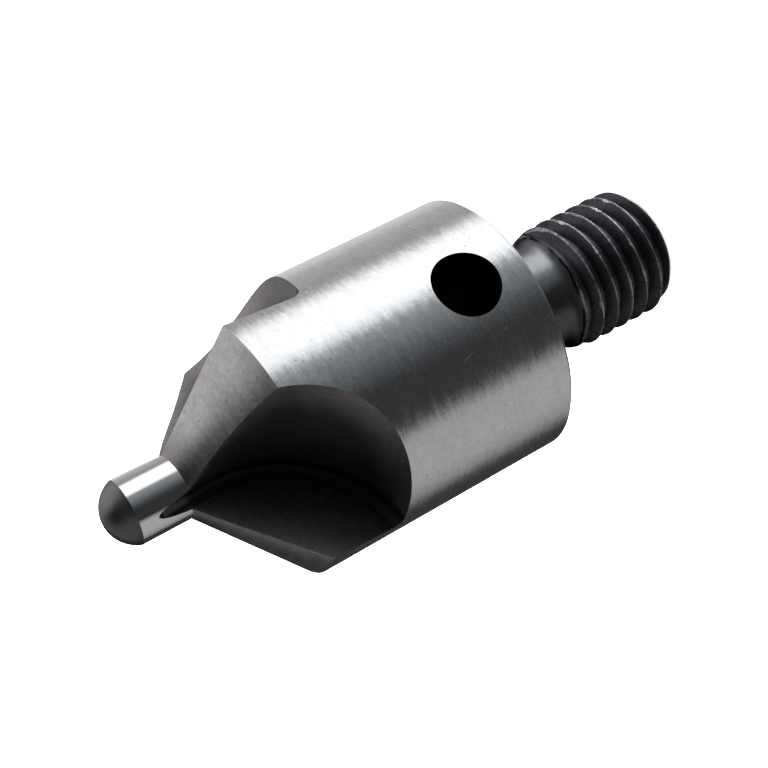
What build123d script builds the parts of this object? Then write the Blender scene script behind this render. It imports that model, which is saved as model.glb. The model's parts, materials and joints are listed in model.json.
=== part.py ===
from build123d import *
from math import cos, radians, sin, sqrt, tan
import os

# Piloted three-flute countersink cutter with a threaded shank, made as one piece of tool steel.
#
# Millimetres and degrees. The tool axis is Z. The flat end of the threaded shank stands at the
# origin and the pilot points up, so +Z is the way the tool is fed into the work.
# Angles about the axis are counterclockwise seen from the pilot, which is the way the tool turns.

# Threaded shank, drawn as the cylinder over its crests
shank_len = 9.2
thread_d = 6.3
end_chamfer = 0.6
thread_fade = 1.0

# Neck between the thread and the shoulder of the body
neck_d = 5.4
neck_len = 3.3
neck_fillet = 0.6

# Body, the ground cylinder that runs in the stop cage
body_d = 12.7
body_len = 13.0
shoulder_chamfer = 0.2

# Bar hole, drilled right across the body for the pin that unscrews the cutter
hole_d = 3.175
hole_from_shoulder = 3.05
hole_azimuth = -90.0

# Cutting cone; each land's cone is ground off centre, so it falls away behind its edge
cone_angle = 100.0
land_offset = 0.15

# Pilot with its domed tip
pilot_d = 3.1
pilot_len = 2.4
dome_r = 1.65

# Flutes, each cut by the end of a round-cornered mill that leaves a flat rake face
flute_count = 3
flute_len = 3.75
floor_from_axis = 0.78
floor_rise = 8.5
axial_rake = 7.7
rake_centre = 0.83
edge_from_hole = 84.2
land_split = 26.0
mill_d = 12.2
mill_corner = 0.65

# Radii and heights that follow from the sizes above
body_r = body_d / 2
thread_r = thread_d / 2
neck_r = neck_d / 2
pilot_r = pilot_d / 2
mill_r = mill_d / 2
slope = tan(radians(cone_angle / 2))
cone_z = shank_len + body_len
pilot_z = cone_z + (body_r - pilot_r) / slope
dome_z = pilot_z + pilot_len
tip_z = dome_z + dome_r - sqrt(dome_r**2 - pilot_r**2)
land_z = cone_z - 2 * land_offset / slope
core_r = pilot_r / 2
core_z = cone_z + (body_r - core_r) / slope


def turned_blank():
    """Shank, neck and body as turned: the body runs up past the cone as a plain cylinder."""
    fade_z = shank_len - neck_len - thread_fade
    shank = Polyline(
        (0, core_z),
        (0, 0),
        (thread_r - end_chamfer, 0),
        (thread_r, end_chamfer),
        (thread_r, fade_z),
        (neck_r, fade_z + thread_fade),
        (neck_r, shank_len - neck_fillet),
    )
    fillet_arc = RadiusArc(shank @ 1, (neck_r + neck_fillet, shank_len), neck_fillet)
    body = Polyline(
        fillet_arc @ 1,
        (body_r - shoulder_chamfer, shank_len),
        (body_r, shank_len + shoulder_chamfer),
        (body_r, core_z),
        (0, core_z),
    )
    return revolve(Plane.XZ * make_face(shank + fillet_arc + body), Axis.Z)


def land_waste():
    """What grinding takes off round one land, whose cutting edge faces +X.

    The cone's axis stands off the tool's axis, towards the flute in front of the edge.
    """
    height = core_z - land_z
    foot_r = body_r + (cone_z - land_z) * slope
    cone = Pos(0, land_offset, land_z + height / 2) * Cone(foot_r, core_r, height)
    corners = Polyline((0, land_z), (body_d, land_z), (body_d, core_z), (0, core_z), close=True)
    turn = 360 / flute_count
    sector = revolve(Plane.XZ * make_face(corners), Axis.Z, turn)
    return Rot(0, 0, land_split - turn) * sector - cone


def pilot():
    """The round pilot and its dome, rooted inside the cone."""
    side = Polyline((0, tip_z), (0, cone_z), (pilot_r, cone_z), (pilot_r, dome_z))
    dome = RadiusArc(side @ 1, (0, tip_z), -dome_r)
    return revolve(Plane.XZ * make_face(side + dome), Axis.Z)


def flute_mill():
    """The space one flute's mill sweeps out, its rake face running out from the axis along +X.

    The mill's end lies in the rake face, which leans by the axial rake about the X direction.
    It starts where the flute ends on the body and leaves past the pilot, rising as it goes.
    """
    lean = radians(axial_rake)
    along = Vector(0, sin(lean), cos(lean))
    facing = Vector(0, cos(lean), -sin(lean))
    outward = Vector(1, 0, 0)
    rise = radians(floor_rise)
    travel = along * cos(rise) + outward * sin(rise)
    start = (
        Vector(0, 0, cone_z + rake_centre)
        + along * (mill_r - flute_len - rake_centre)
        + outward * (mill_r + floor_from_axis)
    )
    run = tip_z - shank_len
    path = Circle(mill_r) + Pos(run / 2, 0) * Rectangle(run, mill_d)
    swept = extrude(path, body_d)
    swept = fillet(swept.faces().sort_by(Axis.Z)[0].edges(), mill_corner)
    return Plane(start, x_dir=travel, z_dir=facing) * swept


def cutter():
    """The blank with its lands ground, its pilot, its flutes milled and its bar hole drilled."""
    part = turned_blank()
    turns = [hole_azimuth - edge_from_hole + 360 * k / flute_count for k in range(flute_count)]
    for turn in turns:
        part -= Rot(0, 0, turn) * land_waste()
    part += pilot()
    for turn in turns:
        part -= Rot(0, 0, turn) * flute_mill()
    bar_hole = Rot(0, 0, hole_azimuth) * Rot(0, 90, 0) * Cylinder(hole_d / 2, 2 * body_d)
    return part - Pos(0, 0, shank_len + hole_from_shoulder) * bar_hole


os.makedirs("parts", exist_ok=True)
export_step(cutter(), "parts/countersink_cutter.step")
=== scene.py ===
import json
from math import atan2, cos, degrees, pi, radians, sin, sqrt, tan

import bpy
from bpy.props import FloatProperty, FloatVectorProperty, IntProperty, PointerProperty
from mathutils import Matrix, Vector


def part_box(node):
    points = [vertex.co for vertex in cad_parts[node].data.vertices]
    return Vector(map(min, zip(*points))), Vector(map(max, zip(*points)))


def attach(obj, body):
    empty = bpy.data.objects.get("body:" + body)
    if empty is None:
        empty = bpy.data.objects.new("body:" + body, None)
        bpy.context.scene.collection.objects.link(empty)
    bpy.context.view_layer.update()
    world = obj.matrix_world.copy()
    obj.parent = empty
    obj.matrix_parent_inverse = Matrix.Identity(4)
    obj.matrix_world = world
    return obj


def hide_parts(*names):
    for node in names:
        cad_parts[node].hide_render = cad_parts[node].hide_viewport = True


bl_info = {
    "name": "Piloted Countersink Cutter",
    "version": (1, 0, 0),
    "blender": (4, 5, 0),
    "location": "3D View > Sidebar > Cutter",
    "description": (
        "A three-flute countersink cutter with a pilot and a threaded shank, ground and part blacked"
    ),
    "category": "Add Mesh",
}

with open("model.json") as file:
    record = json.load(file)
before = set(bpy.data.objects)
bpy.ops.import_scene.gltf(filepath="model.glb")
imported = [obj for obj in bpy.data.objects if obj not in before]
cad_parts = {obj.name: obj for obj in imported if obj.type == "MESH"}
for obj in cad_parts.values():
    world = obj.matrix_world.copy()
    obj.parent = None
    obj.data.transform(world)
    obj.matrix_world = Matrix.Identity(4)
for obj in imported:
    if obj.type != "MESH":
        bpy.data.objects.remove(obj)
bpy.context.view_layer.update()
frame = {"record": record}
MOUNTS = {mount["name"]: mount for mount in frame["record"]["mounts"]}
MM = 0.001
# Points nearer than this are one point
WELD = 1e-7
# A point nearer than this to a plane lies on it, and the slack of a cut along a plane
ON_PLANE = 1e-6
CUT_SLACK = 1e-8


def mount_radius(name):
    """Radius of a round mount in metres."""
    return MOUNTS[name]["dims"]["r_mm"] * MM


def mount_height(name):
    """How far up the tool's axis a mount lies, in metres."""
    return MOUNTS[name]["pos_m"][2]


# ---------------------------------------------------------------- settings


def length(name, description, default):
    """A length in metres."""
    return FloatProperty(
        name=name, description=description, default=default, min=0.0, precision=5,
        subtype="DISTANCE", unit="LENGTH",
    )


def angle(name, description, default):
    """An angle, its default in degrees."""
    return FloatProperty(
        name=name, description=description, default=radians(default), subtype="ANGLE", unit="ROTATION",
    )


def colour(name, description, default):
    """A linear colour."""
    return FloatVectorProperty(
        name=name, description=description, default=default, size=3, min=0.0, max=1.0, subtype="COLOR",
    )


def share(name, description, default):
    """A number from 0 to 1."""
    return FloatProperty(
        name=name, description=description, default=default, min=0.0, max=1.0, subtype="FACTOR",
    )


def count(name, description, default, low, high):
    """A whole number between two ends."""
    return IntProperty(name=name, description=description, default=default, min=low, max=high)


def vector(name, description, default, subtype, unit="NONE"):
    """A place or a direction."""
    return FloatVectorProperty(
        name=name, description=description, default=default, size=3, precision=5, subtype=subtype, unit=unit,
    )


class CutterSizes(bpy.types.PropertyGroup):
    """Sizes of the turned, threaded, ground and milled forms."""

    shank_len: length("Shank length", "From the shank's flat end to the shoulder", mount_height("shoulder"))
    thread_r: length("Thread radius", "Radius over the thread's crests", mount_radius("threaded_shank"))
    root_r: length("Root radius", "Radius at the bottom of the thread", 2.62 * MM)
    pitch: length("Thread pitch", "Advance of one turn of the thread", 25.4 / 28 * MM)
    end_chamfer: length("End chamfer", "Chamfer round the end of the shank", 0.6 * MM)
    groove_lead: length("Groove lead-in", "How far below the shank's end the groove starts", 1.7125 * MM)
    groove_turns: count("Groove turns", "Turns of the groove", 8, 1, 20)
    groove_fade: length("Groove run-out", "Length over which the groove runs out of the metal", 3.2 * MM)
    crest: length("Crest width", "Width of the flat along the thread's crest", 0.055 * MM)
    nick: length("Nicks", "How far handling has knocked the crests about", 0.015 * MM)
    taper_from: length("Taper start", "Height where the crests start to run down", 4.85 * MM)
    taper_to: length("Taper end", "Height where the run-down meets the hollow neck", 5.56 * MM)
    taper_r: length("Taper radius", "Radius where the run-down meets the hollow neck", 2.95 * MM)
    neck_z: length("Neck height", "Height where the hollow of the neck is deepest", 6.3 * MM)
    neck_r: length("Neck radius", "Radius of the relief behind the shoulder", 2.7 * MM)
    neck_fillet: length("Neck fillet", "Fillet where the neck meets the shoulder", 0.6 * MM)
    body_r: length("Body radius", "Radius of the ground body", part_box("countersink_cutter")[1].x)
    body_len: length("Body length", "From the shoulder to the foot of the cone", 13.0 * MM)
    shoulder_chamfer: length("Shoulder chamfer", "Chamfer round the shoulder", 0.2 * MM)
    hole_r: length("Bar hole radius", "Radius of the hole across the body", mount_radius("bar_hole"))
    hole_z: length("Bar hole height", "Height of the bar hole's axis", mount_height("bar_hole"))
    cone_angle: angle("Cone angle", "Included angle of the cutting cone", 100.0)
    land_offset: length("Land offset", "How far off centre each land is ground, which relieves it", 0.15 * MM)
    land_split: angle("Land split", "Where one land's grinding stops, ahead of its cutting edge", 26.0)
    pilot_r: length("Pilot radius", "Radius of the pilot", mount_radius("pilot"))
    pilot_len: length("Pilot length", "Length of the pilot's round wall", 2.4 * MM)
    dome_r: length("Dome radius", "Radius of the pilot's domed tip", 1.65 * MM)
    flutes: count("Flutes", "Number of flutes", 3, 1, 6)
    flute_len: length("Flute length", "Length of each flute on the body's round wall", 3.75 * MM)
    floor_from_axis: length("Flute floor", "Distance of the flute's floor from the axis", 0.78 * MM)
    floor_rise: angle("Floor rise", "How fast the flute's floor leaves the axis", 8.5)
    axial_rake: angle("Axial rake", "Lean of the rake face along the axis", 7.7)
    rake_centre: length("Rake centre", "How far above the cone's foot a rake face meets the axis", 0.83 * MM)
    first_edge: angle("First edge", "Direction of the first cutting edge about the axis", -174.2)
    mill_r: length("Mill radius", "Radius of the end mill that cuts a flute", 6.1 * MM)
    mill_corner: length("Mill corner", "Corner radius of the end mill", 0.5 * MM)
    turn_steps: count("Turning steps", "Facets round a turned form", 288, 48, 512)
    thread_steps: count("Thread steps", "Facets in one turn of the thread", 96, 24, 256)


class CutterFinish(bpy.types.PropertyGroup):
    """Colours and gloss of the cutter's finishes."""

    steel: colour("Ground steel", "Bare ground tool steel", (0.60, 0.60, 0.60))
    land_steel: colour("Land steel", "Steel of the ground cutting lands", (0.52, 0.515, 0.51))
    flute_steel: colour("Flute steel", "Flute wall near its rim", (0.33, 0.315, 0.31))
    # Dark deep in the flutes and over the rake faces: partly scale, partly painted shade
    flute_dark: colour("Flute scale", "Hardening scale left deep in the flutes", (0.092, 0.088, 0.09))
    neck_steel: colour("Neck steel", "Thin worn blacking on the neck", (0.27, 0.275, 0.285))
    black: colour("Black oxide", "Blacking on the thread", (0.092, 0.094, 0.104))
    bright: colour("Worn crest", "Bare metal where the blacking has worn off", (0.74, 0.74, 0.76))
    body_rough: share("Body roughness", "Roughness of the ground body", 0.25)
    grain: share("Grinding grain", "How strongly the grinding lines show", 0.5)
    waver: angle("Grinding waver", "How far the ground surface turns from line to line", 1.7)


class StageSettings(bpy.types.PropertyGroup):
    """Floor, light and camera."""

    floor_r: length("Floor radius", "Radius of the round floor", 0.72)
    floor_colour: colour("Floor", "Colour of the floor", (0.93, 0.93, 0.93))
    focal: FloatProperty(
        name="Focal length", description="Lens of the camera", default=75.37, min=1.0,
        subtype="DISTANCE_CAMERA", unit="CAMERA",
    )
    eye: vector(
        "Eye", "Where the camera stands", (-0.0209583, -0.0643467, 0.0438785), "TRANSLATION", "LENGTH",
    )
    look: vector(
        "Look", "Direction in which the camera looks", (0.28194975, 0.87711861, -0.38880237), "DIRECTION",
    )
    top: vector(
        "Top", "Direction that points up in the picture", (0.78760587, -0.44301558, -0.42826882), "DIRECTION",
    )


# ---------------------------------------------------------------- shader maths


class Num:
    """A number inside a node tree, worked with Python's own operators."""

    def __init__(self, paint, socket):
        self.paint, self.socket = paint, socket

    def maths(self, operation, *others, clamp=False):
        inputs = {index: other for index, other in enumerate((self,) + others)}
        return self.paint.add("ShaderNodeMath", {"operation": operation, "use_clamp": clamp}, inputs).out()

    def __add__(self, other):
        return self.maths("ADD", other)

    def __sub__(self, other):
        return self.maths("SUBTRACT", other)

    def __rsub__(self, other):
        return (self * -1.0) + other

    def __mul__(self, other):
        return self.maths("MULTIPLY", other)

    def __truediv__(self, other):
        return self.maths("DIVIDE", other)

    def __rtruediv__(self, other):
        return (self ** -1.0) * other

    def __pow__(self, other):
        return self.maths("POWER", other)

    __radd__, __rmul__ = __add__, __mul__

    def clamp(self):
        return self.maths("ADD", 0.0, clamp=True)

    def ramp(self, low, high):
        """0 at low and 1 at high, eased at both ends; low may be the larger."""
        inputs = {"Value": self, "From Min": low, "From Max": high}
        return self.paint.add("ShaderNodeMapRange", {"interpolation_type": "SMOOTHSTEP"}, inputs).out()


class Made:
    """A node that has been added, whose outputs come back as Num."""

    def __init__(self, paint, node):
        self.paint, self.node = paint, node

    def out(self, name=0):
        return Num(self.paint, self.node.outputs[name])


class Paint:
    """Builds one node tree."""

    def __init__(self, tree):
        self.tree = tree
        tree.nodes.clear()

    def add(self, kind, settings=None, inputs=None):
        """One node of a kind: its settings first, then its sockets' values or links."""
        node = self.tree.nodes.new(kind)
        for name, value in (settings or {}).items():
            setattr(node, name, value)
        for name, value in (inputs or {}).items():
            if isinstance(value, Num):
                self.tree.links.new(value.socket, node.inputs[name])
            else:
                node.inputs[name].default_value = value
        return Made(self, node)

    def place(self):
        """The point being shaded, in the object's own space."""
        return self.add("ShaderNodeTexCoord").out("Object")

    def xyz(self, vector):
        """The three parts of a vector."""
        split = self.add("ShaderNodeSeparateXYZ", None, {0: vector})
        return split.out("X"), split.out("Y"), split.out("Z")

    def vectors(self, operation, *inputs, out=0):
        """Vector maths on two vectors."""
        return self.add("ShaderNodeVectorMath", {"operation": operation}, dict(enumerate(inputs))).out(out)

    def scaled(self, vector, x, y, z):
        """The vector with each part multiplied, which stretches a pattern."""
        return self.vectors("MULTIPLY", vector, (x, y, z))

    def tinted(self, colour, by):
        """A colour multiplied by another."""
        return self.vectors("MULTIPLY", colour, by)

    def noise(self, vector, scale=1.0, detail=3.0, rough=0.55, seed=0.0):
        """Soft noise from 0 to 1, a different pattern for each seed."""
        inputs = {"Vector": vector, "W": seed, "Scale": scale, "Detail": detail, "Roughness": rough}
        return self.add("ShaderNodeTexNoise", {"noise_dimensions": "4D"}, inputs).out(0)

    def specks(self, vector, scale, seed=0.0):
        """Distance to scattered points, for pits and nicks."""
        moved = self.vectors("ADD", vector, (seed, seed, seed))
        return self.add("ShaderNodeTexVoronoi", None, {"Vector": moved, "Scale": scale}).out("Distance")

    def scratch(self, place, start, end, width):
        """1 along a straight mark between two points and 0 beside it."""
        run = Vector(end) - Vector(start)
        off = self.vectors("SUBTRACT", place, start)
        dot = self.vectors("DOT_PRODUCT", off, tuple(run), out="Value")
        along = (dot / max(run.length_squared, 1e-12)).clamp()
        scale = {0: tuple(run), "Scale": along}
        near = self.add("ShaderNodeVectorMath", {"operation": "SCALE"}, scale).out()
        return self.vectors("DISTANCE", off, near, out="Value").ramp(width, 0.0)

    def mix(self, amount, first, second):
        """From the first colour to the second."""
        def rgba(tone):
            return tone if isinstance(tone, Num) else tuple(tone)[:3] + (1.0,)
        inputs = {"Factor": amount, 6: rgba(first), 7: rgba(second)}
        return self.add("ShaderNodeMix", {"data_type": "RGBA"}, inputs).out(2)

    def turned_normal(self, angle):
        """The surface's own normal turned about the tool's axis."""
        normal = self.add("ShaderNodeNewGeometry").out("Normal")
        inputs = {"Vector": normal, "Angle": angle}
        return self.add("ShaderNodeVectorRotate", {"rotation_type": "Z_AXIS"}, inputs).out()

    def bump(self, height, distance, strength=1.0, under=None):
        """The normal that a height field gives, on top of another normal if there is one."""
        inputs = {"Height": height, "Distance": distance, "Strength": strength}
        if under is not None:
            inputs["Normal"] = under
        return self.add("ShaderNodeBump", None, inputs).out()

    def metal(self, colour, roughness, normal=None, **fixed):
        """A metal surface; fixed holds other sockets by name, with _ for a space."""
        inputs = {"Base Color": colour, "Roughness": roughness, "Metallic": 1.0}
        if normal is not None:
            inputs["Normal"] = normal
        inputs.update({name.replace("_", " "): value for name, value in fixed.items()})
        shader = self.add("ShaderNodeBsdfPrincipled", None, inputs).out()
        self.add("ShaderNodeOutputMaterial", None, {"Surface": shader})


def new_paint(name):
    """A new material, and the Paint that fills it."""
    material = bpy.data.materials.new(name)
    material.use_nodes = True
    return material, Paint(material.node_tree)


# ---------------------------------------------------------------- finishes


def shade(colour, factor):
    """A colour made darker or lighter, with no part above 1."""
    return tuple(min(1.0, factor * c) for c in colour)


def ground_body(finish, sizes):
    """Round-ground steel: short fine lines round the body, with pits and light handling marks."""
    material, paint = new_paint("round_ground_steel")
    place = paint.place()
    lines = paint.noise(paint.scaled(place, 1000.0, 1000.0, 7000.0), 1.0, 4.0, 0.7, 1.3)
    broad = paint.noise(paint.scaled(place, 420.0, 420.0, 1500.0), 1.0, 3.0, 0.6, 4.1)
    cloud = paint.noise(place, 500.0, 3.0, 0.6, 7.7)
    fine = paint.noise(paint.scaled(place, 5000.0, 5000.0, 9000.0), 1.0, 2.0, 0.7, 2.7)
    grit = paint.noise(place, 3600.0, 3.0, 0.7, 5.1)
    clusters = paint.noise(place, 300.0, 3.0, 0.6, 3.3).ramp(0.42, 0.60)
    pits = paint.specks(paint.scaled(place, 0.8, 0.8, 1.3), 2300.0, 2.2).ramp(0.17, 0.06) * clusters
    tone = (lines - 0.5) * finish.grain + (broad - 0.5) * 0.25 + (cloud - 0.5) * 0.15
    tone = tone + (fine - 0.5) * 0.4 + (grit - 0.5) * 0.55
    dark = shade(finish.steel, 0.68)
    light = shade(finish.steel, 1.25)
    tint = paint.mix((tone + 0.5).clamp(), dark, light)
    tint = paint.mix(pits * 0.45, tint, (0.12, 0.115, 0.11))
    marks = None
    for start, end, width in HANDLING_MARKS:
        mark = paint.scratch(place, tuple(MM * c for c in start), tuple(MM * c for c in end), width * MM)
        marks = mark if marks is None else marks.maths("MAXIMUM", mark)
    tint = paint.mix(marks * 0.8, tint, (0.95, 0.95, 0.95))
    rough = finish.body_rough + (lines - 0.5) * 0.2 + (cloud - 0.5) * 0.10 + marks * 0.25
    waves = paint.noise(paint.scaled(place, 1500.0, 1500.0, 6500.0), 1.0, 3.0, 0.65, 6.2)
    facing = paint.turned_normal((waves - 0.5) * (4.0 * finish.waver))
    height = lines * 0.5 + fine * 0.5 - pits * 0.2
    normal = paint.bump(height, 0.000010, 0.5, facing)
    paint.metal(tint, rough.clamp(), normal, Anisotropic=0.6, Anisotropic_Rotation=0.25)
    return material


def ground_lands(finish, sizes):
    """Satin ground cone lands, with painted shade making them darker beside the pilot."""
    material, paint = new_paint("satin_ground_lands")
    place = paint.place()
    x, y = paint.xyz(place)[:2]
    radius = (x * x + y * y) ** 0.5
    lines = paint.noise(paint.scaled(place, 300.0, 300.0, 8000.0), 1.0, 4.0, 0.6, 3.4)
    cloud = paint.noise(place, 700.0, 4.0, 0.6, 5.9)
    fine = paint.noise(place, 5500.0, 3.0, 0.7, 1.7)
    dark = shade(finish.land_steel, 0.6)
    light = shade(finish.land_steel, 1.3)
    tone = (lines - 0.5) * 0.5 + (cloud - 0.5) * 0.9 + (fine - 0.5) * 1.3
    tint = paint.mix((tone + 0.5).clamp(), dark, light)
    pits = paint.specks(place, 2600.0, 4.4).ramp(0.17, 0.06) * cloud.ramp(0.45, 0.6)
    tint = paint.mix(pits * 0.5, tint, (0.10, 0.095, 0.10))
    # Painted shade: the lands go darker beside the pilot, where it would block their light
    inner = (radius + (cloud - 0.5) * (1.0 * MM)).ramp(3.1 * MM, 1.7 * MM)
    tint = paint.mix(inner * 0.55, tint, (0.15, 0.133, 0.138))
    rough = 0.33 + (lines - 0.5) * 0.2 + (fine - 0.5) * 0.12
    normal = paint.bump(lines * 0.4 + cloud * 0.3 + fine * 0.3, 0.000012, 0.5)
    paint.metal(tint, rough.clamp(), normal)
    return material


def inward(sizes, x, y, z):
    """1 on the body's and the cone's own surface, falling to 0 on the axis."""
    skin = ((cone_foot(sizes) - z) * slope_of(sizes) + sizes.body_r).maths("MINIMUM", sizes.body_r)
    return (x * x + y * y) ** 0.5 / skin


def from_edge(sizes, x, y):
    """Where a point lies in its flute, as a share of the step from one cutting edge to the next."""
    step = (y.maths("ARCTAN2", x) - sizes.first_edge) / (2 * pi / sizes.flutes)
    return (step + 0.15).maths("FRACT") - 0.15


def flute_walls(finish, sizes):
    """Flute walls: milled steel at the rim, with painted shade darkening them deeper in the flute, towards
    the rake face and in the mill's corner.
    """
    material, paint = new_paint("milled_flute_wall")
    place = paint.place()
    x, y, z = paint.xyz(place)
    outness = inward(sizes, x, y, z)
    radius = (x * x + y * y) ** 0.5
    behind = from_edge(sizes, x, y)
    off_rake = radius * (behind * (2 * pi / sizes.flutes)).maths("SINE") * cos(sizes.axial_rake)
    off_rake = off_rake - (z - cone_foot(sizes) - sizes.rake_centre) * sin(sizes.axial_rake)
    lines = paint.noise(paint.scaled(place, 2500.0, 2500.0, 600.0), 1.0, 3.0, 0.6, 8.4)
    mottle = paint.noise(place, 900.0, 4.0, 0.65, 2.6)
    fine = paint.noise(place, 5000.0, 3.0, 0.7, 6.6)
    # Painted shade: near black in the mill's rounded corner, where the wall meets the rake face
    corner = off_rake.ramp(1.8 * sizes.mill_corner, 0.8 * sizes.mill_corner)
    # Painted shade: the wall turns to the flute's dark colour deeper in the flute and darker still further
    # in;
    # blind darkens it by its angle from the cutting edge
    scale = (outness + (mottle - 0.5) * 0.10).ramp(0.985, 0.66)
    recess_shade = (outness + (mottle - 0.5) * 0.15).ramp(0.60, 0.18)
    blind = (behind + (mottle - 0.5) * 0.15).ramp(0.60, 0.12)
    tone = ((lines - 0.5) * 0.8 + (fine - 0.5) * 0.8 + 0.5).clamp()
    bare = paint.mix(tone, shade(finish.flute_steel, 0.65), shade(finish.flute_steel, 1.35))
    tint = paint.mix(scale, bare, finish.flute_dark)
    tint = paint.mix(blind * 0.2, tint, (0.02, 0.02, 0.021))
    tint = paint.mix(recess_shade * 0.2, tint, (0.01, 0.01, 0.011))
    tint = paint.mix(corner * 0.85, tint, (0.006, 0.006, 0.006))
    rough = 0.38 + (mottle - 0.5) * 0.25 + scale * 0.08
    normal = paint.bump(lines * 0.5 + fine * 0.5, 0.00001, 0.4)
    paint.metal(tint, rough.clamp(), normal)
    return material


def rake_faces(finish, sizes):
    """Dark mottled rake faces, with painted light making them a little lighter towards their cutting edges,
    painted shade deeper in, and a thin painted highlight along each cutting edge.
    """
    material, paint = new_paint("scaled_rake_face")
    place = paint.place()
    x, y, z = paint.xyz(place)
    radius = (x * x + y * y) ** 0.5
    cone = (cone_foot(sizes) - z) * slope_of(sizes) + sizes.body_r
    depth = cone - radius
    outness = inward(sizes, x, y, z)
    mottle = paint.noise(place, 1600.0, 5.0, 0.7, 4.6)
    fine = paint.noise(place, 9000.0, 2.0, 0.6, 5.2)
    # Painted light: lighter where the face lies shallow under the cone, towards its cutting edge
    edge_side_light = (depth + (mottle - 0.5) * (1.6 * MM)).ramp(2.0 * MM, 0.2 * MM)
    edge_side_light = edge_side_light * (0.4 + 0.6 * fine.ramp(0.35, 0.65))
    tone = ((mottle - 0.5) * 1.2 + (fine - 0.5) * 0.8 + 0.5).clamp()
    dull = paint.mix(tone, shade(finish.flute_dark, 0.5), shade(finish.flute_dark, 1.4))
    tint = paint.mix(edge_side_light * 0.5, dull, (0.17, 0.17, 0.185))
    # Painted shade: darker deeper in the flute
    deep = (outness + (mottle - 0.5) * 0.2).ramp(0.72, 0.25)
    tint = paint.mix(deep * 0.45, tint, (0.007, 0.007, 0.008))
    # Painted highlight: a thin light line along the cutting edge
    edge_highlight = (depth + (mottle - 0.5) * (0.1 * MM)).ramp(0.10 * MM, 0.02 * MM)
    tint = paint.mix(edge_highlight * 0.6, tint, (0.42, 0.41, 0.42))
    rough = 0.42 + (mottle - 0.5) * 0.3
    normal = paint.bump(mottle * 0.5 + fine * 0.5, 0.00001, 0.4)
    paint.metal(tint, rough.clamp(), normal)
    return material


def polished_pilot(finish, sizes):
    """Polished pilot wall and its satin dome."""
    material, paint = new_paint("polished_pilot_steel")
    place = paint.place()
    z = paint.xyz(place)[2]
    lines = paint.noise(paint.scaled(place, 300.0, 300.0, 9000.0), 1.0, 3.0, 0.6, 6.1)
    dome = z.ramp(dome_height(sizes) - 0.02 * MM, dome_height(sizes) + 0.02 * MM)
    tint = paint.mix(dome, (0.60, 0.59, 0.585), shade(finish.steel, 0.32))
    rough = 0.07 + (lines - 0.5) * 0.06 + dome * 0.24
    normal = paint.bump(lines, 0.000005, 0.4)
    paint.metal(tint, rough.clamp(), normal, Anisotropic=0.4, Anisotropic_Rotation=0.25)
    return material


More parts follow.
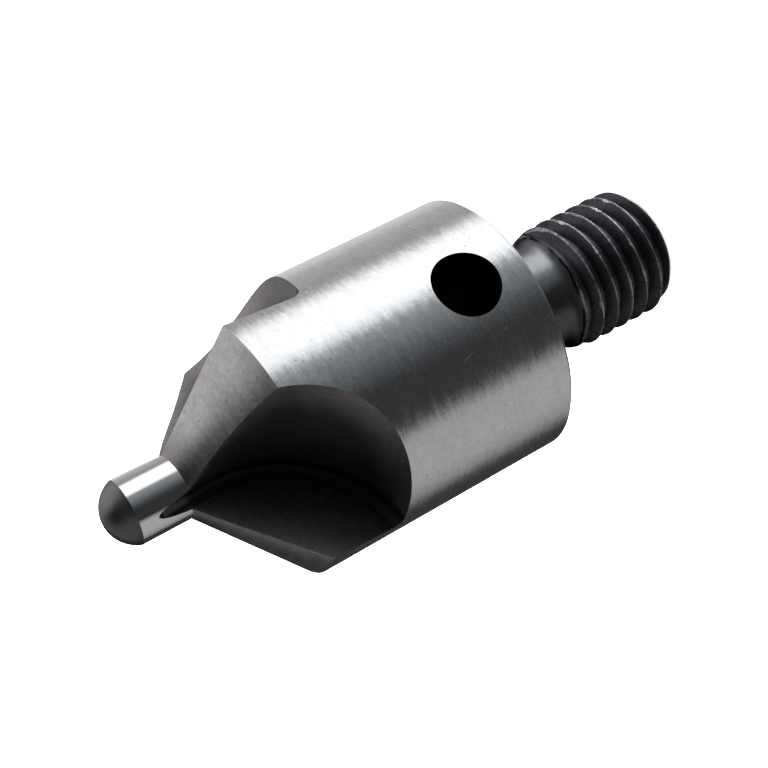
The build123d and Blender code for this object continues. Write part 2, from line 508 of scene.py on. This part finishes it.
def blacked_shank(finish, sizes):
    """Blacked neck and thread, worn thin on the neck and down to bare metal along the crests; painted light
    makes the neck, crests and lip lighter on one side and darker on the other, and painted shade darkens the
    end chamfer.
    """
    material, paint = new_paint("worn_black_oxide")
    place = paint.place()
    x, y, z = paint.xyz(place)
    radius = (x * x + y * y) ** 0.5
    patchy = paint.noise(place, 1500.0, 4.0, 0.65, 9.2)
    broken = paint.noise(place, 800.0, 2.0, 0.5, 2.9)
    fine = paint.noise(place, 7000.0, 3.0, 0.6, 0.8)
    neck = (z + (patchy - 0.5) * (0.2 * MM)).ramp(sizes.taper_to + 0.05 * MM, sizes.taper_to + 0.45 * MM)
    neck = neck * (1.0 - z.ramp(sizes.shank_len - 0.35 * MM, sizes.shank_len))
    bruise = broken.ramp(0.54, 0.70)
    down = ((z - sizes.taper_from) / (sizes.taper_to - sizes.taper_from)).clamp()
    crest = radius + down * (sizes.thread_r - sizes.taper_r) + bruise * (0.09 * MM)
    crest = crest.ramp(sizes.thread_r - 0.05 * MM, sizes.thread_r - 0.012 * MM)
    crest = crest * z.ramp(sizes.taper_to - 0.1 * MM, sizes.taper_to - 0.25 * MM)
    # Painted light: around says how near a point lies to the painted lit side
    around = (x * cos(LIT_SIDE) + y * sin(LIT_SIDE)) / radius
    worn = crest * (broken.ramp(0.26, 0.55) * 0.5 + 0.12 + bruise * 0.6)
    worn = worn * (0.4 + 0.6 * patchy.ramp(0.35, 0.6))
    # Painted highlight: the worn crests lighter on the lit side
    worn = (worn * (0.5 + 0.6 * around.ramp(-0.1, 0.9))).clamp()
    ragged = z - sizes.taper_to + (broken - 0.5) * (0.25 * MM) + (patchy - 0.5) * (0.15 * MM)
    lip = ragged.maths("ABSOLUTE").ramp(0.08 * MM, 0.02 * MM) * patchy.ramp(0.36, 0.48)
    torn = (ragged - 0.13 * MM).maths("ABSOLUTE").ramp(0.09 * MM, 0.03 * MM) * broken.ramp(0.40, 0.52)
    # Painted shade: the end chamfer goes near black, with flecks of bare metal on it
    end = (z + (patchy - 0.5) * (0.15 * MM)).ramp(sizes.end_chamfer * 0.62, sizes.end_chamfer * 0.5)
    rim = z.ramp(0.03 * MM, 0.12 * MM) * 0.35 * fine.ramp(0.42, 0.55)
    # Painted highlight: the bare lip lighter on the lit side
    bare = worn.maths("MAXIMUM", lip * (0.15 + 0.6 * around.ramp(0.0, 0.9))).maths("MAXIMUM", end * rim)
    tone = ((patchy - 0.5) * 0.9 + (fine - 0.5) * 0.9 + 0.5).clamp()
    dull = paint.mix(tone, shade(finish.black, 0.55), shade(finish.black, 1.6))
    tone = ((patchy - 0.5) * 1.4 + 0.5).clamp()
    thin = paint.mix(tone, shade(finish.neck_steel, 0.65), shade(finish.neck_steel, 1.25))
    # Painted shade: the neck darker away from the lit side
    thin = paint.mix(around.ramp(0.985, 0.5), thin, shade(finish.neck_steel, 0.30))
    tint = paint.mix(torn * 0.9, paint.mix(neck, dull, thin), (0.008, 0.008, 0.009))
    # Painted shade on the end chamfer
    tint = paint.mix(end * 0.9, tint, (0.006, 0.006, 0.007))
    tint = paint.mix(bare, tint, finish.bright)
    rough = 0.42 + (patchy - 0.5) * 0.25 - bare * 0.12 - neck * 0.12
    normal = paint.bump(patchy * 0.5 + fine * 0.5, 0.00002, 0.5)
    paint.metal(tint, rough.clamp(), normal, Specular_Tint=(0.12, 0.12, 0.13, 1.0))
    return material


def drilled_bore(finish, sizes):
    """Wall of the drilled bar hole, painted near black as the shade inside the hole."""
    material, paint = new_paint("drilled_bore_steel")
    place = paint.place()
    rings = paint.noise(paint.scaled(place, 200.0, 6000.0, 200.0), 1.0, 3.0, 0.6, 1.9)
    # Painted shade: the bore's wall near black
    tint = paint.mix(rings, (0.02, 0.02, 0.022), (0.06, 0.06, 0.06))
    paint.metal(tint, (0.45 + (rings - 0.5) * 0.2).clamp(), paint.bump(rings, 0.00001, 0.4))
    return material


# Side of the neck painted as its lit side: the neck is painted darker away from it, the crests and lip
# lighter towards it
LIT_SIDE = radians(-72.0)
# Short bright marks that handling has left on the body, as start, end and half width in millimetres
HANDLING_MARKS = (
    ((-2.881, -5.659, 14.239), (-2.703, -5.746, 13.659), 0.030),
    ((-2.471, -5.850, 11.796), (-2.460, -5.855, 11.740), 0.050),
    ((4.209, -4.755, 12.058), (4.190, -4.770, 12.000), 0.060),
    ((3.228, -5.468, 18.314), (3.240, -5.460, 18.250), 0.060),
)

FINISHES = (ground_body, blacked_shank, ground_lands, flute_walls, rake_faces, polished_pilot, drilled_bore)
BODY, BLACK, LAND, FLUTE, RAKE, PILOT, BORE = range(len(FINISHES))


# ---------------------------------------------------------------- modelling


def clear_choice():
    """Nothing selected and no mesh open, so that an operator acts on what comes next."""
    if bpy.context.object and bpy.context.object.mode != "OBJECT":
        bpy.ops.object.mode_set(mode="OBJECT")
    bpy.ops.object.select_all(action="DESELECT")


def activate(piece):
    """Makes a piece the active one, with only itself selected."""
    clear_choice()
    piece.select_set(True)
    bpy.context.view_layer.objects.active = piece


def choose(piece, kind, wanted):
    """Opens the mesh with only the wanted vertices, edges or faces selected."""
    activate(piece)
    mesh = piece.data
    for group in (mesh.vertices, mesh.edges, mesh.polygons):
        group.foreach_set("select", [False] * len(group))
    bpy.ops.object.mode_set(mode="EDIT")
    bpy.ops.mesh.select_mode(type=kind)
    bpy.ops.mesh.select_all(action="DESELECT")
    bpy.ops.object.mode_set(mode="OBJECT")
    group = {"VERT": mesh.vertices, "EDGE": mesh.edges, "FACE": mesh.polygons}[kind]
    for item in group:
        item.select = wanted(item)
    bpy.ops.object.mode_set(mode="EDIT")


def open_whole(piece, kind):
    """Opens the mesh with all of it selected."""
    choose(piece, kind, lambda item: True)
    bpy.ops.mesh.select_all(action="SELECT")


def tidy(piece):
    """Doubles merged and normals outward."""
    open_whole(piece, "VERT")
    bpy.ops.mesh.remove_doubles(threshold=WELD)
    bpy.ops.mesh.normals_make_consistent(inside=False)
    bpy.ops.object.mode_set(mode="OBJECT")


def drawn(points):
    """An open line through (radius, height) points in the XZ plane, left open for editing."""
    clear_choice()
    bpy.ops.mesh.primitive_plane_add(size=MM)
    piece = bpy.context.object
    bpy.ops.object.mode_set(mode="EDIT")
    bpy.ops.mesh.select_mode(type="VERT")
    bpy.ops.mesh.select_all(action="SELECT")
    bpy.ops.mesh.merge(type="CENTER")
    bpy.ops.transform.translate(value=(points[0][0], 0.0, points[0][1]))
    for (r0, z0), (r1, z1) in zip(points, points[1:]):
        bpy.ops.mesh.extrude_region_move(TRANSFORM_OT_translate={"value": (r1 - r0, 0.0, z1 - z0)})
    bpy.ops.mesh.select_all(action="SELECT")
    return piece


def turned(name, profile, steps):
    """A solid turned about Z from a profile that starts and ends on the axis."""
    piece = drawn(profile)
    piece.name = name
    bpy.ops.mesh.spin(steps=steps, angle=2 * pi, center=(0, 0, 0), axis=(0, 0, 1))
    bpy.ops.object.mode_set(mode="OBJECT")
    tidy(piece)
    return piece


def arc(centre, radius, start, end, steps):
    """Points of an arc in the (radius, height) plane, angles in degrees, without its first point."""
    turns = [radians(start + (end - start) * k / steps) for k in range(1, steps + 1)]
    return [(centre[0] + radius * cos(t), centre[1] + radius * sin(t)) for t in turns]


def combine(piece, tool, operation):
    """Joins, cuts or keeps with another solid, which is then gone."""
    activate(piece)
    tool.data.update()
    bpy.context.view_layer.update()
    cut = piece.modifiers.new("cut", "BOOLEAN")
    cut.operation, cut.solver, cut.object = operation, "EXACT", tool
    bpy.ops.object.modifier_apply(modifier=cut.name)
    bpy.data.objects.remove(tool)


def finish_of(piece, index):
    """Gives every face one of the finishes."""
    for _ in FINISHES:
        piece.data.materials.append(None)
    piece.data.polygons.foreach_set("material_index", [index] * len(piece.data.polygons))


def placed(piece, matrix):
    """Moves a piece and applies the move to its mesh."""
    piece.matrix_world = matrix
    activate(piece)
    bpy.ops.object.transform_apply(location=True, rotation=True, scale=True)


def slope_of(sizes):
    """How much radius the cone loses for each step of height."""
    return tan(sizes.cone_angle / 2)


def cone_foot(sizes):
    """Height of the cone's foot, at the top of the body's round wall."""
    return sizes.shank_len + sizes.body_len


def dome_height(sizes):
    """Height where the pilot's round wall meets its dome."""
    return cone_foot(sizes) + (sizes.body_r - sizes.pilot_r) / slope_of(sizes) + sizes.pilot_len


def core_of(sizes):
    """Radius and height of the plain end that the pilot covers."""
    core_r = sizes.pilot_r / 2
    return core_r, cone_foot(sizes) + (sizes.body_r - core_r) / slope_of(sizes)


# How many steps the hollow neck, the neck's fillet and the pilot's dome are turned in
HOLLOW_STEPS, FILLET_STEPS, DOME_STEPS = 12, 10, 24
# Facets round the drill, the end mill and its rounded corner, and the plain stock for a land's waste
DRILL_FACETS, MILL_FACETS, CORNER_FACETS, STOCK_FACETS = 128, 192, 12, 48
# Half the angle between a thread's flanks
FLANK = radians(30)
# How far the groove's mouth stands clear of the crests, and how far a cut reaches past the metal
CLEAR = 0.03 * MM
PAST = 0.3 * MM
# A face whose normal's height is below this looks straight down
DOWNWARD = -0.999
# Faces that meet at less than this are shaded as one surface
SMOOTH_BELOW = radians(17)


def turned_blank(sizes):
    """Shank over its crests, neck and body, up past the cone as a plain cylinder."""
    s = sizes
    core_z = core_of(s)[1]
    profile = [(0, 0), (s.thread_r - s.end_chamfer, 0)]
    profile += [(s.thread_r, s.end_chamfer), (s.thread_r, s.taper_from)]
    for k in range(HOLLOW_STEPS + 1):
        way = k / HOLLOW_STEPS
        fall = (s.taper_r - s.neck_r) * (1 - way) ** 2
        profile.append((s.neck_r + fall, s.taper_to + (s.neck_z - s.taper_to) * way))
    profile.append((s.neck_r, s.shank_len - s.neck_fillet))
    fillet_middle = (s.neck_r + s.neck_fillet, s.shank_len - s.neck_fillet)
    profile += arc(fillet_middle, s.neck_fillet, 180, 90, FILLET_STEPS)
    profile += [(s.body_r - s.shoulder_chamfer, s.shank_len), (s.body_r, s.shank_len + s.shoulder_chamfer)]
    profile += [(s.body_r, core_z), (0, core_z)]
    blank = turned("countersink_body", profile, s.turn_steps)
    finish_of(blank, BODY)
    for face in blank.data.polygons:
        if face.center.z < s.shank_len - ON_PLANE:
            face.material_index = BLACK
    return blank


def thread_groove(sizes):
    """The helical groove that a die leaves, wound from below the end and run out near the neck."""
    s = sizes
    depth = s.thread_r - s.root_r
    reach = s.thread_r + CLEAR
    rim = (s.pitch - s.crest) / 2 + (reach - s.thread_r) * tan(FLANK)
    # Just under half the pitch, so that one turn of the cut never runs into the next
    rim = min(rim, s.pitch * 0.49)
    root = (s.pitch - s.crest) / 2 - depth * tan(FLANK)
    section = [(s.root_r, root), (reach, rim), (reach + PAST, rim)]
    section += [(r, -z) for r, z in reversed(section)]
    groove = drawn([(r, z - s.groove_lead) for r, z in section + section[:1]])
    bpy.ops.mesh.remove_doubles(threshold=WELD)
    bpy.ops.object.mode_set(mode="OBJECT")
    screw = groove.modifiers.new("wind", "SCREW")
    screw.axis, screw.angle, screw.screw_offset, screw.iterations = "Z", 2 * pi, s.pitch, s.groove_turns
    screw.steps = screw.render_steps = s.thread_steps
    screw.use_merge_vertices = True
    screw.merge_threshold = WELD
    bpy.ops.object.modifier_apply(modifier=screw.name)
    open_whole(groove, "VERT")
    bpy.ops.mesh.remove_doubles(threshold=WELD)
    bpy.ops.mesh.fill_holes(sides=0)
    bpy.ops.object.mode_set(mode="OBJECT")
    tidy(groove)
    last_z = s.groove_turns * s.pitch - s.groove_lead

    def in_last_section(vertex):
        x, y, z = vertex.co
        return abs(y) < ON_PLANE and x > 0 and z > last_z - s.pitch / 2

    choose(groove, "VERT", in_last_section)
    bpy.ops.transform.translate(
        value=(depth + CLEAR, 0, 0), use_proportional_edit=True, use_proportional_connected=True,
        proportional_edit_falloff="SMOOTH", proportional_size=s.groove_fade,
    )
    bpy.ops.object.mode_set(mode="OBJECT")
    finish_of(groove, BLACK)
    return groove


# A place off the axis and off every plane of the tool, so that two points are unlikely to be equally
# far from it, and the seed of the nicks
ODD_PLACE = (0.0131, 0.0074, -0.0517)
NICK_SEED = 7
# Above the shank's end and this far below the crests, a point counts as on a crest
ABOVE_END = 0.1 * MM
BELOW_CREST = 0.35 * MM


def nick_crests(piece, sizes):
    """Knocks the crests about a little, as handling does."""
    s = sizes

    def on_crest(vertex):
        x, y, z = vertex.co
        return ABOVE_END < z < s.taper_to and x * x + y * y > (s.thread_r - BELOW_CREST) ** 2

    # Points in order of distance from an odd place, so that each run knocks the same ones
    bpy.context.scene.cursor.location = ODD_PLACE
    choose(piece, "VERT", on_crest)
    bpy.ops.mesh.sort_elements(type="CURSOR_DISTANCE", elements={"VERT"})
    bpy.context.scene.cursor.location = (0, 0, 0)
    bpy.ops.transform.vertex_random(offset=s.nick, normal=1.0, seed=NICK_SEED)
    bpy.ops.object.mode_set(mode="OBJECT")


def land_waste(sizes, turn):
    """What grinding takes off round one land, whose cutting edge faces +X before it is turned."""
    s = sizes
    slope = slope_of(s)
    core_r, core_z = core_of(s)
    land_z = cone_foot(s) - 2 * s.land_offset / slope
    top_z = core_z + PAST
    top_r = core_r - PAST * slope
    height = top_z - land_z
    foot_r = s.body_r + (cone_foot(s) - land_z) * slope
    clear_choice()
    bpy.ops.mesh.primitive_cone_add(
        vertices=s.turn_steps, radius1=foot_r, radius2=top_r, depth=height,
        location=(0, s.land_offset, land_z + height / 2),
    )
    cone = bpy.context.object
    finish_of(cone, LAND)
    clear_choice()
    bpy.ops.mesh.primitive_cylinder_add(
        vertices=STOCK_FACETS, radius=2 * s.body_r, depth=height, location=(0, 0, land_z + height / 2),
    )
    waste = bpy.context.object
    finish_of(waste, LAND)
    step = 2 * pi / s.flutes
    for way, side in ((s.land_split, 1), (s.land_split - step, -1)):
        open_whole(waste, "FACE")
        bpy.ops.mesh.bisect(
            plane_co=(0, 0, 0), plane_no=(-sin(way) * side, cos(way) * side, 0),
            use_fill=True, clear_outer=True, threshold=CUT_SLACK,
        )
        bpy.ops.object.mode_set(mode="OBJECT")
    for piece in (cone, waste):
        activate(piece)
        bpy.ops.object.transform_apply(location=True, rotation=True, scale=True)
    combine(waste, cone, "DIFFERENCE")
    placed(waste, Matrix.Rotation(turn, 4, "Z"))
    return waste


def pilot_pin(sizes):
    """The round pilot and its dome, rooted inside the cone."""
    s = sizes
    dome_z = dome_height(s)
    centre_z = dome_z - sqrt(s.dome_r**2 - s.pilot_r**2)
    lean = degrees(atan2(dome_z - centre_z, s.pilot_r))
    profile = [(0, cone_foot(s)), (s.pilot_r, cone_foot(s)), (s.pilot_r, dome_z)]
    profile += arc((0, centre_z), s.dome_r, lean, 90, DOME_STEPS)
    pin = turned("pilot_pin", profile, s.turn_steps)
    finish_of(pin, PILOT)
    return pin


def flute_mill(sizes, turn):
    """The space one flute's mill sweeps out; its end lies in the rake face."""
    s = sizes
    depth = 2 * s.body_r
    run = dome_height(s) + s.dome_r - s.shank_len
    clear_choice()
    bpy.ops.mesh.primitive_cylinder_add(
        vertices=MILL_FACETS, radius=s.mill_r, depth=depth, location=(0, 0, depth / 2),
    )
    mill = bpy.context.object
    bpy.ops.object.transform_apply(location=True, rotation=True, scale=True)
    choose(mill, "VERT", lambda vertex: vertex.co.x > ON_PLANE)
    bpy.ops.transform.translate(value=(run, 0, 0))
    low = {v.index for v in mill.data.vertices if v.co.z < ON_PLANE}
    choose(mill, "EDGE", lambda edge: all(v in low for v in edge.vertices))
    bpy.ops.mesh.bevel(offset=s.mill_corner, segments=CORNER_FACETS, affect="EDGES", clamp_overlap=False)
    bpy.ops.object.mode_set(mode="OBJECT")
    tidy(mill)
    finish_of(mill, FLUTE)
    for face in mill.data.polygons:
        if face.normal.z < DOWNWARD:
            face.material_index = RAKE
    along = Vector((0, sin(s.axial_rake), cos(s.axial_rake)))
    facing = Vector((0, cos(s.axial_rake), -sin(s.axial_rake)))
    outward = Vector((1, 0, 0))
    travel = along * cos(s.floor_rise) + outward * sin(s.floor_rise)
    start = (
        Vector((0, 0, cone_foot(s) + s.rake_centre))
        + along * (s.mill_r - s.flute_len - s.rake_centre)
        + outward * (s.mill_r + s.floor_from_axis)
    )
    side = facing.cross(travel)
    placing = Matrix((travel, side, facing)).transposed().to_4x4()
    placing.translation = start
    placed(mill, Matrix.Rotation(turn, 4, "Z") @ placing)
    return mill


def bar_hole(sizes):
    """The hole drilled right across the body along Y."""
    s = sizes
    clear_choice()
    bpy.ops.mesh.primitive_cylinder_add(
        vertices=DRILL_FACETS, radius=s.hole_r, depth=4 * s.body_r,
        location=(0, 0, s.hole_z), rotation=(pi / 2, 0, 0),
    )
    drill = bpy.context.object
    bpy.ops.object.transform_apply(location=True, rotation=True, scale=True)
    finish_of(drill, BORE)
    return drill


class CUTTER_OT_cutter(bpy.types.Operator):
    """Turn, thread, grind and flute the cutter, and give it its finishes"""

    bl_idname = "cutter.make_cutter"
    bl_label = "Make Cutter"

    def execute(self, context):
        sizes, finish = context.scene.cutter_sizes, context.scene.cutter_finish
        piece = turned_blank(sizes)
        combine(piece, thread_groove(sizes), "DIFFERENCE")
        nick_crests(piece, sizes)
        turns = [sizes.first_edge + 2 * pi * k / sizes.flutes for k in range(sizes.flutes)]
        for turn in turns:
            combine(piece, land_waste(sizes, turn), "DIFFERENCE")
        combine(piece, pilot_pin(sizes), "UNION")
        for turn in turns:
            combine(piece, flute_mill(sizes, turn), "DIFFERENCE")
        combine(piece, bar_hole(sizes), "DIFFERENCE")
        tidy(piece)
        for index, make in enumerate(FINISHES):
            piece.data.materials[index] = make(finish, sizes)
        activate(piece)
        bpy.ops.object.shade_smooth_by_angle(angle=SMOOTH_BELOW)
        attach(piece, "root")
        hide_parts("countersink_cutter")
        return {"FINISHED"}


# ---------------------------------------------------------------- stage


# Tall soft boxes round the horizon: the middle of each, where its light is full and where it
# ends, in degrees about the axis before the studio is turned, and its tone
SOFT_BOXES = (
    (88, 24, 98, 0.235),
    (135, 12, 30, 0.29),
    (157, 6, 30, 0.425),
    (-95, 8, 34, 0.23),
    (-75, 15, 34, 0.285),
    (67.5, 14, 30, 0.96),
)
# The tone between the boxes, and how far the studio is turned about the tool's axis, in degrees
UNLIT = 0.024
STUDIO_TURN = -107.82
# Round patches overhead: direction and height of the middle, where each is full and where it ends,
# in degrees, then how strong it is and its tone
CEILING_PATCHES = (
    (62, 82, 6, 42, 1.0, (0.02, 0.02, 0.021)),
    (160, 20, 6, 26, 1.0, (0.21, 0.206, 0.206)),
    (114, 31, 16, 46, 1.0, (0.415, 0.41, 0.405)),
    (-160, 4, 8, 34, 0.95, (0.012, 0.012, 0.012)),
)
CEILING_LOW, CEILING_HIGH = (0.028, 0.028, 0.029), (0.135, 0.132, 0.132)
# The one dark patch over both ceiling and boxes, and the side whose light is cooler
DARK_PATCH = (6, 34, 14, 44)
DARK_STRENGTH, DARK_TONE = 0.85, (0.02, 0.02, 0.021)
COOL_PATCH, COOL_TINT = (5, -20, 10, 60), (0.93, 1.0, 1.07)
# Heights, as the sine of the angle up, between which the ceiling brightens and between which the
# boxes give way to it
CEILING_RISE = (0.02, 0.5)
BOXES_END = (-0.22, 0.06)
# What everything but a reflection sees, and the strength of all the light
PLAIN_WHITE = (2.2, 2.2, 2.2)
LIGHT_STRENGTH = 2.0
# Facets round the floor, and the share of its radius that its border takes
FLOOR_FACETS, FLOOR_BORDER = 96, 1 / 8
# The camera's sensor in millimetres, and the nearest and farthest that it sees in metres
SENSOR_WIDTH = 36.0
NEAREST, FARTHEST = 0.002, 10.0


def studio_light(scene):
    """A soft studio: tall soft boxes round the horizon, and plain white for the floor."""
    world = bpy.data.worlds.new("studio")
    scene.world = world
    world.use_nodes = True
    # Light found by aiming at the studio would not know a glossy ray from a plain one
    world.cycles.sampling_method = "NONE"
    paint = Paint(world.node_tree)
    x, y, z = paint.xyz(paint.add("ShaderNodeTexCoord").out("Generated"))
    turn = radians(STUDIO_TURN)
    ahead = x * cos(turn) + y * sin(turn)
    aside = y * cos(turn) - x * sin(turn)
    level = (x * x + y * y) ** 0.5
    boxes = (UNLIT, UNLIT, UNLIT)
    for middle, full, ends, tone in SOFT_BOXES:
        towards = (ahead * cos(radians(middle)) + aside * sin(radians(middle))) / level
        boxes = paint.mix(towards.ramp(cos(radians(ends)), cos(radians(full))), boxes, (tone, tone, tone))

    def patch(around, up, inner, outer):
        """1 inside a round patch of the studio and 0 outside, by degrees from its middle."""
        around, up = radians(around + STUDIO_TURN), radians(up)
        towards = x * (cos(around) * cos(up)) + y * (sin(around) * cos(up)) + z * sin(up)
        return towards.ramp(cos(radians(outer)), cos(radians(inner)))

    ceiling = paint.mix(z.ramp(*CEILING_RISE), CEILING_LOW, CEILING_HIGH)
    for around, up, inner, outer, strength, colour in CEILING_PATCHES:
        ceiling = paint.mix(patch(around, up, inner, outer) * strength, ceiling, colour)
    tone = paint.mix(z.ramp(*BOXES_END), boxes, ceiling)
    tone = paint.mix(patch(*DARK_PATCH) * DARK_STRENGTH, tone, DARK_TONE)
    tone = paint.mix(patch(*COOL_PATCH), tone, paint.tinted(tone, COOL_TINT))
    glossy = paint.add("ShaderNodeLightPath").out("Is Glossy Ray")
    tone = paint.mix(glossy, PLAIN_WHITE, tone)
    light = paint.add("ShaderNodeBackground", None, {"Color": tone, "Strength": LIGHT_STRENGTH}).out()
    paint.add("ShaderNodeOutputWorld", None, {"Surface": light})


class CUTTER_OT_stage(bpy.types.Operator):
    """Lay the floor, set the light and stand the camera"""

    bl_idname = "cutter.make_stage"
    bl_label = "Make Stage"

    def execute(self, context):
        stage = context.scene.cutter_stage
        clear_choice()
        bpy.ops.mesh.primitive_circle_add(vertices=FLOOR_FACETS, radius=stage.floor_r, fill_type="NGON")
        floor = bpy.context.object
        floor.name = "floor"
        open_whole(floor, "FACE")
        bpy.ops.mesh.inset(thickness=stage.floor_r * FLOOR_BORDER)
        bpy.ops.object.mode_set(mode="OBJECT")
        material, paint = new_paint("pale_floor")
        place = paint.place()
        fleck = paint.noise(place, 60.0, 2.0, 0.5, 0.4)
        tint = paint.mix(fleck, shade(stage.floor_colour, 0.99), stage.floor_colour)
        shader = paint.add("ShaderNodeBsdfDiffuse", None, {"Color": tint}).out()
        paint.add("ShaderNodeOutputMaterial", None, {"Surface": shader})
        floor.data.materials.append(material)
        floor.visible_glossy = False
        studio_light(context.scene)
        context.scene.view_settings.view_transform = "Standard"
        camera = bpy.data.objects.new("camera", bpy.data.cameras.new("camera"))
        context.scene.collection.objects.link(camera)
        back, up = -Vector(stage.look), Vector(stage.top)
        turn = Matrix((up.cross(back), up, back)).transposed()
        camera.matrix_world = Matrix.Translation(stage.eye) @ turn.to_4x4()
        camera.data.lens = stage.focal
        camera.data.sensor_width = SENSOR_WIDTH
        camera.data.clip_start, camera.data.clip_end = NEAREST, FARTHEST
        context.scene.camera = camera
        return {"FINISHED"}


# ---------------------------------------------------------------- add-on


class CUTTER_PT_panel(bpy.types.Panel):
    """Sizes and finishes of the cutter"""

    bl_label = "Countersink Cutter"
    bl_idname = "CUTTER_PT_panel"
    bl_space_type = "VIEW_3D"
    bl_region_type = "UI"
    bl_category = "Cutter"

    def draw(self, context):
        for group in (context.scene.cutter_sizes, context.scene.cutter_finish, context.scene.cutter_stage):
            box = self.layout.box()
            for name in group.bl_rna.properties.keys():
                if name not in {"rna_type", "name"}:
                    box.prop(group, name)
        self.layout.operator(CUTTER_OT_cutter.bl_idname)
        self.layout.operator(CUTTER_OT_stage.bl_idname)


CLASSES = (CutterSizes, CutterFinish, StageSettings, CUTTER_OT_cutter, CUTTER_OT_stage, CUTTER_PT_panel)


def register():
    for cls in CLASSES:
        bpy.utils.register_class(cls)
    bpy.types.Scene.cutter_sizes = PointerProperty(type=CutterSizes)
    bpy.types.Scene.cutter_finish = PointerProperty(type=CutterFinish)
    bpy.types.Scene.cutter_stage = PointerProperty(type=StageSettings)


def unregister():
    del bpy.types.Scene.cutter_stage
    del bpy.types.Scene.cutter_finish
    del bpy.types.Scene.cutter_sizes
    for cls in reversed(CLASSES):
        bpy.utils.unregister_class(cls)


def main():
    register()
    bpy.ops.cutter.make_cutter()
    bpy.ops.cutter.make_stage()


if __name__ == "__main__":
    main()
